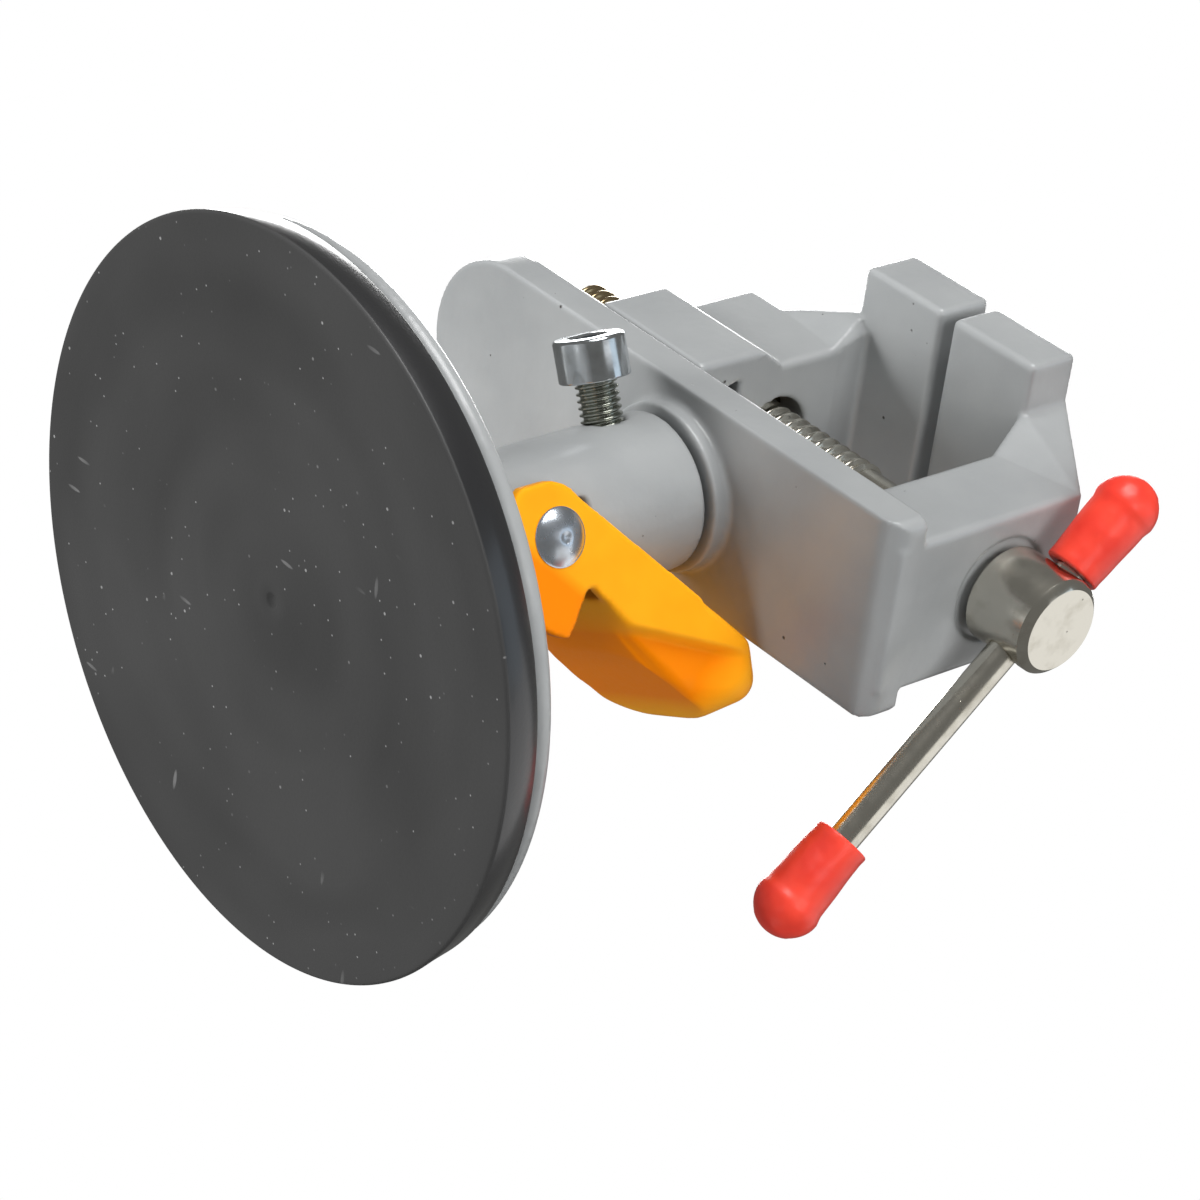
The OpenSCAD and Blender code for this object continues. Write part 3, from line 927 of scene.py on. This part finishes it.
@dataclass
class SuctionBase:
    """The rubber pad and the casting that stands on it.

    The mark's outline is in heights above the dish with radii. The side's outline is in heights
    with how far in from the pad's radius they lie.
    """

    pad_r: float = 42.5 * MM
    lip: float = 0.4 * MM
    land: float = 0.3 * MM
    ring_r: float = 38.4 * MM
    dish_h: float = 1.4 * MM
    swell_h: float = 0.05 * MM
    swell_gap: float = 11 * MM
    web_t: float = 3 * MM
    web_in: float = 5.5 * MM
    boss_r: float = 10 * MM
    boss_top: float = 8.2 * MM
    boss_edge: float = 0.5 * MM
    bore_r: float = 4.05 * MM
    mark: Outline = (
        (0.35 * MM, 0.0), (0.3 * MM, 0.495 * MM), (0.02 * MM, 0.88 * MM), (-0.12 * MM, 1.1 * MM))
    side: Outline = (
        (2.2 * MM, 0.36 * MM), (4.3 * MM, 0.7 * MM), (4.5 * MM, 0.9 * MM), (4.5 * MM, 4.5 * MM))
    voxel: float = 0.42 * MM
    rounds: int = 5

    def dish(self, radius: float) -> float:
        """Gives the dish's height above the bench at a radius."""
        return self.dish_h * (1 - (radius / self.ring_r) ** 2)

    def build_pad(self) -> Piece:
        """Turns the pad, with its dish, the mark in its middle and its soft edge.

        Returns:
            The pad.
        """
        mark_r = self.mark[-1][1]
        rows: list[Row] = [(self.dish_h + height, radius) for height, radius in self.mark]
        for share in shares(24)[1:]:
            radius = mark_r + (self.ring_r - mark_r) * share
            swell = self.swell_h * math.cos(math.tau * radius / self.swell_gap)
            rows.append((max(0.0, self.dish(radius) + swell * (1 - share)), radius))
        rows += [(0.0, self.pad_r - self.lip - self.land)]
        rows += arc_rows(self.lip, self.pad_r - self.lip, self.lip, -90, 0)
        rows += [(height, self.pad_r - inset) for height, inset in self.side]
        web_r = self.pad_r - self.web_in
        for share in shares(12):
            radius = web_r - (web_r - self.boss_r) * share
            rows.append((self.web_t + self.dish(radius), radius))
        rows += [(self.boss_top, self.boss_r - self.boss_edge), (self.boss_top, self.bore_r)]
        rows += [(self.web_t + self.dish_h, self.bore_r), (self.web_t + self.dish_h, 0)]
        return lathe("rubber_pad", rows, 288, Matrix.Identity(4))

    def build(self) -> None:
        """Builds both and dresses the stud inside."""
        report(self.build_pad(), "base", RUBBER, "suction_pad")
        casting = softened("base_casting", "base_shell", self.voxel, self.rounds)
        report(casting, "base", GREY, "base_casting")
        dress_node("plunger_stud", ZINC)


@dataclass
class ClampScrew:
    """The socket cap screw that locks the head, from its tip to its head."""

    axis_z: float = 49 * MM
    tip: float = 4.9 * MM
    point: float = 0.6 * MM
    radius: float = 2.5 * MM
    depth: float = 0.42 * MM
    pitch: float = 0.8 * MM
    fade: float = 0.3 * MM
    relief: float = 0.1 * MM
    seat: float = 14.1 * MM
    head_r: float = 4.2 * MM
    head_h: float = 5 * MM
    edge: float = 0.45 * MM
    socket: float = 4 * MM
    socket_flare: float = 0.5 * MM
    socket_bevel: float = 0.25 * MM
    drill: float = 0.8 * MM

    def build(self) -> None:
        """Turns the screw with its thread, its head and the hexagon in its head."""
        where = on_base() @ Matrix.Translation((0, 0, self.axis_z))
        where = where @ Matrix.Rotation(-math.pi / 2, 4, "Y")
        end = self.seat + self.head_h
        floor = end - self.head_h / 2
        flat = self.head_r - self.edge
        under = self.edge / 2
        wide, hexes = hexagon(self.socket + self.socket_flare), hexagon(self.socket)
        rows: list[Row] = [(self.tip, 0), (self.tip, self.radius - 2 * self.depth)]
        rows += thread_rows(
            self.tip + self.point, self.seat - self.relief, self.radius, self.depth, self.pitch,
            self.fade)
        rows += [(self.seat, self.radius - self.depth), (self.seat, flat + self.relief)]
        rows += arc_rows(self.seat + under, self.head_r - under, under, -90, 0, 4)
        rows += arc_rows(end - self.edge, flat, self.edge, 0, 90, 5)
        rows += [(end, wide), (end - self.socket_bevel, hexes)]
        rows += [(floor, hexes), (floor - self.drill, 0)]
        report(lathe("cap_screw", rows, 96, where), "clamp", ZINC_SCREW, "clamp_screw")


@dataclass
class CamLever:
    """The orange lever and the rivet that it turns on.

    The hollow in the side walls is sink deep where its four fades have ended: below the crease,
    past start_u, before end_u and outside wall_n. At the crease the first is crease_share done.
    """

    reach: float = 11.45 * MM
    shank_r: float = 2 * MM
    head_r: float = 3.4 * MM
    head_h: float = 1.2 * MM
    head_edge: float = 0.12 * MM
    head_in: float = 0.1 * MM
    dimple_r: float = 0.95 * MM
    dimple_d: float = 0.24 * MM
    voxel: float = 0.3 * MM
    rounds: int = 12
    sink: float = 1.5 * MM
    crease_share: float = 0.3
    crease_fade: float = 1.3 * MM
    start_u: float = 12 * MM
    start_fade: float = 4 * MM
    end_u: float = 31 * MM
    end_fade: float = 5 * MM
    wall_n: float = 7.5 * MM
    wall_fade: float = 3 * MM

    def head_rows(self) -> list[Row]:
        """Draws one rivet head, from its dimple to its shank.

        Returns:
            The rows.
        """
        ball = (self.head_r ** 2 + self.head_h ** 2) / (2 * self.head_h)

        def cap(radius: float) -> float:
            """Gives the dome's height at a radius."""
            return self.reach + self.head_h - ball + math.sqrt(ball ** 2 - radius ** 2)

        rows: list[Row] = []
        for share in shares(6):
            radius = self.dimple_r * share
            rows.append((cap(radius) - self.dimple_d * (1 - share * share) ** 2, radius))
        for share in shares(12)[1:]:
            radius = self.dimple_r + (self.head_r - self.head_in - self.dimple_r) * share
            rows.append((cap(radius), radius))
        rows += [(self.reach + self.head_edge / 2, self.head_r)]
        return rows + [(self.reach, self.head_r - self.head_edge), (self.reach, self.shank_r)]

    def hollow(self, lever: Piece) -> None:
        """Sinks the lower part of both side walls, below a crease that climbs to the thumb end.

        Args:
            lever: The lever in its raised place.
        """
        ways = (LEVER.u, LEVER.n, LEVER.w)
        for vertex in lever.data.vertices:
            here = vertex.co - LEVER.pivot
            u, n, w = (here.dot(way) for way in ways)
            crease = LEVER.crease_w + LEVER.crease_slope * max(0.0, u - LEVER.crease_u)
            below = eased((crease - w) / self.crease_fade + self.crease_share)
            before = eased((self.end_u - u) / self.end_fade)
            past = eased((u - self.start_u) / self.start_fade)
            outside = eased((abs(n) - self.wall_n) / self.wall_fade)
            share = below * before * (past * outside)
            vertex.co -= ways[1] * math.copysign(self.sink * share, n)
        lever.data.update()

    def build(self) -> None:
        """Builds the lever and its rivet."""
        lever = softened("cam_lever", "lever_moulding", self.voxel, self.rounds, SMOOTH_CREASE)
        self.hollow(lever)
        report(lever, "lever", ORANGE, "cam_lever")
        half = self.head_rows()
        rows = half + [(-height, radius) for height, radius in reversed(half)]
        where = on_base() @ Matrix.Translation(LEVER.pivot) @ Matrix.Rotation(math.pi / 2, 4, "X")
        report(lathe("lever_rivet", rows, 72, where), "plunger", ZINC, "pivot_rivet")


@dataclass
class Head:
    """The cast body of the vise and the jaw that slides on it."""

    voxel: float = 0.32 * MM
    rounds: int = 2

    def build(self) -> None:
        """Builds both castings and dresses the nut."""
        body = softened("vise_body", "body_casting", self.voxel, self.rounds)
        report(body, "head", GREY, "vise_body")
        jaw = softened("moving_jaw", "jaw_casting", self.voxel, self.rounds)
        report(jaw, "jaw", GREY, "moving_jaw")
        dress_node("jaw_nut", YELLOW)


@dataclass
class LeadScrew:
    """The lead screw with its hub, and the clip in its groove.

    The rim's outline is in distances from the hub's end face and from the hub's radius.
    """

    thread_r: float = 4 * MM
    depth: float = 0.75 * MM
    pitch: float = 1.75 * MM
    tip_x: float = -39.6 * MM
    tip_edge: float = 0.5 * MM
    tip_in: float = 0.6 * MM
    thread_lead: float = 0.7 * MM
    thread_x: float = 12 * MM
    fade: float = 1.2 * MM
    neck: float = 0.4 * MM
    shank_r: float = 3.5 * MM
    clip_x: Span = (23.0 * MM, 24.05 * MM)
    clip_r: float = 2.8 * MM
    hub_x: float = 36.1 * MM
    hub_len: float = 9.8 * MM
    hub_r: float = 5.9 * MM
    hub_edge: float = 0.8 * MM
    rim: Outline = (
        (-0.9 * MM, 0.0), (-0.75 * MM, -0.1 * MM), (-0.12 * MM, -0.75 * MM), (0.0, -0.9 * MM))
    bore_gap: float = 0.12 * MM
    mouth_flare: float = 0.2 * MM
    mouth_in: float = 0.1 * MM
    mouth_out: float = 0.3 * MM
    overrun: float = 1 * MM

    def build_cutter(self, bar: TBar) -> Piece:
        """Turns what cuts the bar's bore, with a flare at both mouths.

        Args:
            bar: The bar that the bore takes.

        Returns:
            The cutter.
        """
        bore = bar.radius + self.bore_gap
        mouth = bore + self.mouth_flare
        reach = math.sqrt(self.hub_r ** 2 - mouth ** 2)
        outer = mouth + self.mouth_out
        half: list[Row] = [(reach - self.mouth_in, bore), (self.hub_r + self.mouth_out, outer)]
        half += [(self.hub_r + self.overrun, outer), (self.hub_r + self.overrun, 0)]
        rows: list[Row] = [(-height, radius) for height, radius in reversed(half)] + half
        return lathe("bore_cutter", rows, 48, bar.axis())

    def build(self) -> None:
        """Turns the thread, the shank and the hub, bores the hub and dresses the clip."""
        where = Matrix.Translation((0, 0, SCREW_Z)) @ Matrix.Rotation(math.pi / 2, 4, "Y")
        root = self.thread_r - self.depth
        end = self.hub_x + self.hub_len
        rows: list[Row] = [(self.tip_x, 0), (self.tip_x, root - self.tip_in)]
        rows += [(self.tip_x + self.tip_edge, root)]
        rows += thread_rows(
            self.tip_x + self.thread_lead, self.thread_x, self.thread_r, self.depth, self.pitch,
            self.fade)
        rows += [(self.thread_x + self.neck, self.shank_r)]
        rows += [(self.clip_x[0], self.shank_r), (self.clip_x[0], self.clip_r)]
        rows += [(self.clip_x[1], self.clip_r), (self.clip_x[1], self.shank_r)]
        rows += [(self.hub_x, self.shank_r), (self.hub_x, self.hub_r - self.hub_edge)]
        rows += [(self.hub_x + self.hub_edge, self.hub_r)]
        rows += [(end + step, self.hub_r + out) for step, out in self.rim] + [(end, 0)]
        screw = carved(
            lathe("turned_screw", rows, 96, where), self.build_cutter(TBar()), BORED_CREASE)
        report(screw, "screw", NICKEL, "lead_screw")
        dress_node("screw_clip", SPRING)


@dataclass
class TBar:
    """The plain bar through the hub, with a dipped cap on each end.

    The neck's outline is in heights from the barrel's end with radii.
    """

    x: float = 41.8 * MM
    radius: float = 1.85 * MM
    edge: float = 0.5 * MM
    top: float = 14.4 * MM
    bottom: float = 41.3 * MM
    cap_fit: float = 0.03 * MM
    cap_len: float = 13.2 * MM
    ball_r: float = 4 * MM
    blind: float = 1 * MM
    mouth_r: float = 3.35 * MM
    mouth_bevel: float = 0.2 * MM
    mouth_in: float = 0.3 * MM
    lip: float = 0.25 * MM
    barrel_low: float = 0.4 * MM
    barrel_high: float = 1.1 * MM
    barrel_r: float = 3.75 * MM
    neck: Outline = ((-0.7 * MM, 3.83 * MM), (-0.3 * MM, 3.94 * MM))
    dent_d: float = 0.14 * MM
    dent_scale: float = 260
    dent_edge: float = 0.5 * MM
    upper_mouth: float = 6.2 * MM
    lower_mouth: float = 33.1 * MM

    def axis(self) -> Matrix:
        """Puts an upright piece on the bar's axis."""
        return Matrix.Translation((self.x, 0, SCREW_Z)) @ Matrix.Rotation(LEAN, 4, "X")

    def build_bar(self) -> Piece:
        """Turns the bar.

        Returns:
            The bar.
        """
        length = self.bottom + self.top
        rows: list[Row] = [(-self.bottom, 0), (-self.bottom, self.radius - self.edge)]
        rows += [(self.edge - self.bottom, self.radius)]
        rows += [(length * share - self.bottom, self.radius) for share in shares(20)[1:-1]]
        rows += [(self.top - self.edge, self.radius)]
        rows += [(self.top, self.radius - self.edge), (self.top, 0)]
        return lathe("cross_bar", rows, 48, self.axis())

    def build_cap(self, name: str, where: Matrix, seed: float) -> Piece:
        """Turns one soft cap and gives it the dents of a dipped part.

        Args:
            name: The piece's name.
            where: Puts the cap's mouth in its place.
            seed: Tells one cap's dents from the other's.

        Returns:
            The cap.
        """
        barrel = self.cap_len - self.ball_r
        bore = self.radius + self.cap_fit
        rows: list[Row] = [(barrel - self.blind, 0), (barrel - self.blind, bore), (self.lip, bore)]
        rows += [(0.0, bore + self.mouth_bevel), (0.0, self.mouth_r - self.mouth_in)]
        rows += arc_rows(self.lip, self.mouth_r - self.lip, self.lip, -90, 0, 3)
        rise = barrel - self.barrel_high - self.barrel_low
        for share in shares(12)[1:]:
            radius = self.mouth_r + (self.barrel_r - self.mouth_r) * share
            rows.append((self.barrel_low + rise * share, radius))
        rows += [(barrel + height, radius) for height, radius in self.neck]
        rows += arc_rows(barrel, 0, self.ball_r, 0, 88, 16) + [(self.cap_len, 0)]
        cap = lathe(name, rows, 64, Matrix.Identity(4))
        for vertex in cap.data.vertices:
            here = vertex.co
            outside = math.hypot(here.x, here.y) > bore + self.dent_edge
            if outside and 2 * self.dent_edge < here.z < self.cap_len - self.dent_edge:
                push = noise.noise(here * self.dent_scale + Vector((seed, seed, seed)))
                side = Vector((here.x, here.y, 0)).normalized()
                vertex.co -= side * self.dent_d * max(0.0, 0.5 + push)
        cap.data.transform(where)
        cap.data.update()
        return cap

    def build(self) -> None:
        """Builds the bar and both caps."""
        report(self.build_bar(), "tbar", NICKEL_BAR, "t_bar")
        up = self.axis() @ Matrix.Translation((0, 0, self.upper_mouth))
        upside_down = Matrix.Rotation(math.pi, 4, "X")
        down = self.axis() @ upside_down @ Matrix.Translation((0, 0, self.lower_mouth))
        report(self.build_cap("cap_upper", up, 3.1), "tbar", RED, "tbar_cap_upper")
        report(self.build_cap("cap_lower", down, 11.7), "tbar", RED, "tbar_cap_lower")


# Studio


def unseen_by(thing: Piece, *rays: str) -> None:
    """Hides an object from some kinds of ray."""
    for ray in rays:
        setattr(thing, f"visible_{ray}", False)


@dataclass(frozen=True)
class Fitting:
    """What hangs in the studio, placed and aimed by points in the frame."""

    name: str
    place: Triple
    aim: Triple
    size: Span

    def facing(self) -> Matrix:
        """Puts it in its place with its -Z towards its aim."""
        way = Vector(self.aim) - Vector(self.place)
        return Matrix.Translation(self.place) @ way.to_track_quat("-Z", "Y").to_matrix().to_4x4()


@dataclass(frozen=True)
class Lamp(Fitting):
    """A soft box, which reflections may see."""

    power: float
    mirrored: bool = True

    def build(self) -> None:
        """Hangs the lamp."""
        data = bpy.data.lights.new(self.name, "AREA")
        data.shape = "RECTANGLE"
        data.size, data.size_y = self.size
        data.energy = self.power
        lamp = linked(self.name, data)
        lamp.matrix_world = self.facing()
        lamp.visible_glossy = self.mirrored


@dataclass(frozen=True)
class Card(Fitting):
    """A glowing card that only reflections see, as the windows of a studio."""

    tone: Colour

    def shape(self, mesh: bmesh.types.BMesh) -> None:
        """Makes the card's faces, one metre wide."""
        bmesh.ops.create_grid(mesh, x_segments=1, y_segments=1, size=0.5)

    def build(self) -> None:
        """Hangs the card."""
        mesh = bmesh.new()
        self.shape(mesh)
        card = finished(self.name, mesh)
        card.matrix_world = self.facing() @ Matrix.Diagonal((*self.size, self.size[0], 1))
        material, board = new_material(self.name)
        board.output(board.add("Emission", {"Color": self.tone, "Strength": 1.0}))
        card.data.materials.append(material)
        unseen_by(card, "camera", "diffuse", "transmission", "volume_scatter", "shadow")


class Room(Card):
    """The dim walls all round, which only reflections see."""

    def shape(self, mesh: bmesh.types.BMesh) -> None:
        """Makes a ball."""
        bmesh.ops.create_icosphere(mesh, subdivisions=3, radius=0.5)


@dataclass
class Studio:
    """Camera, lamps, floor and the white all round."""

    right: Triple = (0.623269, -0.117725, 0.773095)
    down: Triple = (0.459259, 0.855262, -0.240017)
    ahead: Triple = (-0.632943, 0.504647, 0.587125)
    eye: Triple = (0.286933, -0.215592, -0.217279)
    sensor: float = 36
    lens: float = 117.6775
    shift: Span = (-0.00129, -0.00052)
    sight: Span = (0.01, 10)
    floor_rings: tuple[float, ...] = (0.05, 0.12, 0.25, 0.4, 0.6)
    floor_gap: float = 0.05 * MM
    floor_cloud: float = 60 * MM
    glow: float = 0.17

    def build_camera(self) -> None:
        """Puts the camera where the photograph was taken from."""
        data = bpy.data.cameras.new("camera")
        data.sensor_width = self.sensor
        data.lens = self.lens
        data.shift_x, data.shift_y = self.shift
        data.clip_start, data.clip_end = self.sight
        camera = linked("camera", data)
        turn = Matrix((self.right, [-v for v in self.down], [-v for v in self.ahead])).transposed()
        camera.matrix_world = Matrix.Translation(self.eye) @ turn.to_4x4()
        bpy.context.scene.camera = camera

    def build_floor(self) -> None:
        """Lays a pale floor that fades out and can't be seen from below."""
        mesh = bmesh.new()
        first, *others = self.floor_rings
        bmesh.ops.create_circle(mesh, cap_ends=True, segments=64, radius=first)
        for radius in others:
            edges = [edge for edge in mesh.edges if edge.is_boundary]
            grown = bmesh.ops.extrude_edge_only(mesh, edges=edges)["geom"]
            for vertex in (item for item in grown if isinstance(item, bmesh.types.BMVert)):
                vertex.co = vertex.co.normalized() * radius
        bmesh.ops.recalc_face_normals(mesh, faces=mesh.faces)
        if mesh.faces[0].normal.z < 0:
            bmesh.ops.reverse_faces(mesh, faces=mesh.faces)
        floor = finished("floor", mesh)
        floor.location.z = -self.floor_gap
        material, board = new_material("pale_floor")
        x, y = board.axis("X"), board.axis("Y")
        distance = (x * x + y * y) ** 0.5
        under = board.add("NewGeometry", {}, "Backfacing")
        reach = self.floor_rings[-1]
        shown = distance.step(0.8 * reach, 0.25 * reach) * (1 - under)
        drift = board.cloud(self.floor_cloud)
        tone = board.blend(drift, (0.86, 0.86, 0.86), (0.88, 0.88, 0.88))
        paint = board.add("BsdfDiffuse", {"Color": tone})
        clear = board.add("BsdfTransparent", {})
        board.output(board.add("MixShader", {0: shown, 1: clear, 2: paint}))
        floor.data.materials.append(material)
        unseen_by(floor, "diffuse", "glossy", "transmission", "volume_scatter", "shadow")

    def build_world(self) -> None:
        """Makes the background white, and the light that it gives softer."""
        world = bpy.data.worlds.new("studio")
        bpy.context.scene.world = world
        world.use_nodes = True
        board = Board(world.node_tree)
        seen, glossy, through = (
            board.add("LightPath", {}, f"Is {ray} Ray")
            for ray in ("Camera", "Glossy", "Transmission"))
        white = seen.at_least(glossy).at_least(through)
        strength = self.glow + (1 - self.glow) * white
        light = board.add("Background", {"Color": (1.0, 1.0, 1.0), "Strength": strength})
        board.add("OutputWorld", {"Surface": light})

    def build(self) -> None:
        """Sets up the studio."""
        self.build_camera()
        self.build_floor()
        self.build_world()
        middle = (0.0, 0.0, 0.05)
        fittings = [
            Lamp("key", (-0.31, -0.1, -0.33), middle, (0.25, 0.25), 3.2, mirrored=False),
            Lamp("top", (0.05, -0.5, 0.1), middle, (0.3, 0.3), 2.25),
            Lamp("front", (0.4, -0.2, 0.05), middle, (0.2, 0.2), 1.2, mirrored=False),
            Lamp("low", (0.15, 0.3, -0.3), middle, (0.2, 0.2), 0.7, mirrored=False),
            Lamp("back", (-0.45, 0.15, 0.5), middle, (0.4, 0.4), 4.5),
            Room("room", middle, (0.0, 0.0, 0.0), (2.0, 2.0), (0.16, 0.16, 0.155)),
            Card("window_hub", (0.24, 0.175, 0.31), middle, (0.3, 0.26), (1.0, 1.0, 1.0)),
            Card("window_bar", (0.4, 0.09, 0.18), middle, (0.19, 0.19), (1.0, 1.0, 0.98)),
            Card("window_blue", (0.26, -0.06, 0.27), middle, (0.2, 0.14), (0.75, 0.88, 1.0)),
            Card("window_low", (0.14, -0.02, -0.36), middle, (0.17, 0.17), (0.95, 0.97, 1.0)),
            Card("window_side", (0.4, -0.18, 0.2), middle, (0.1, 0.22), (0.95, 0.97, 1.0))]
        for fitting in fittings:
            fitting.build()
        bpy.context.scene.view_settings.view_transform = "Standard"


def main() -> None:
    """Builds the studio and every sub-assembly."""
    logging.basicConfig(level=logging.INFO, format="%(name)s: %(message)s")
    Studio().build()
    for part in (SuctionBase(), ClampScrew(), CamLever(), Head(), LeadScrew(), TBar()):
        part.build()
        log.info("%s done", type(part).__name__)


if __name__ == "__main__":
    main()
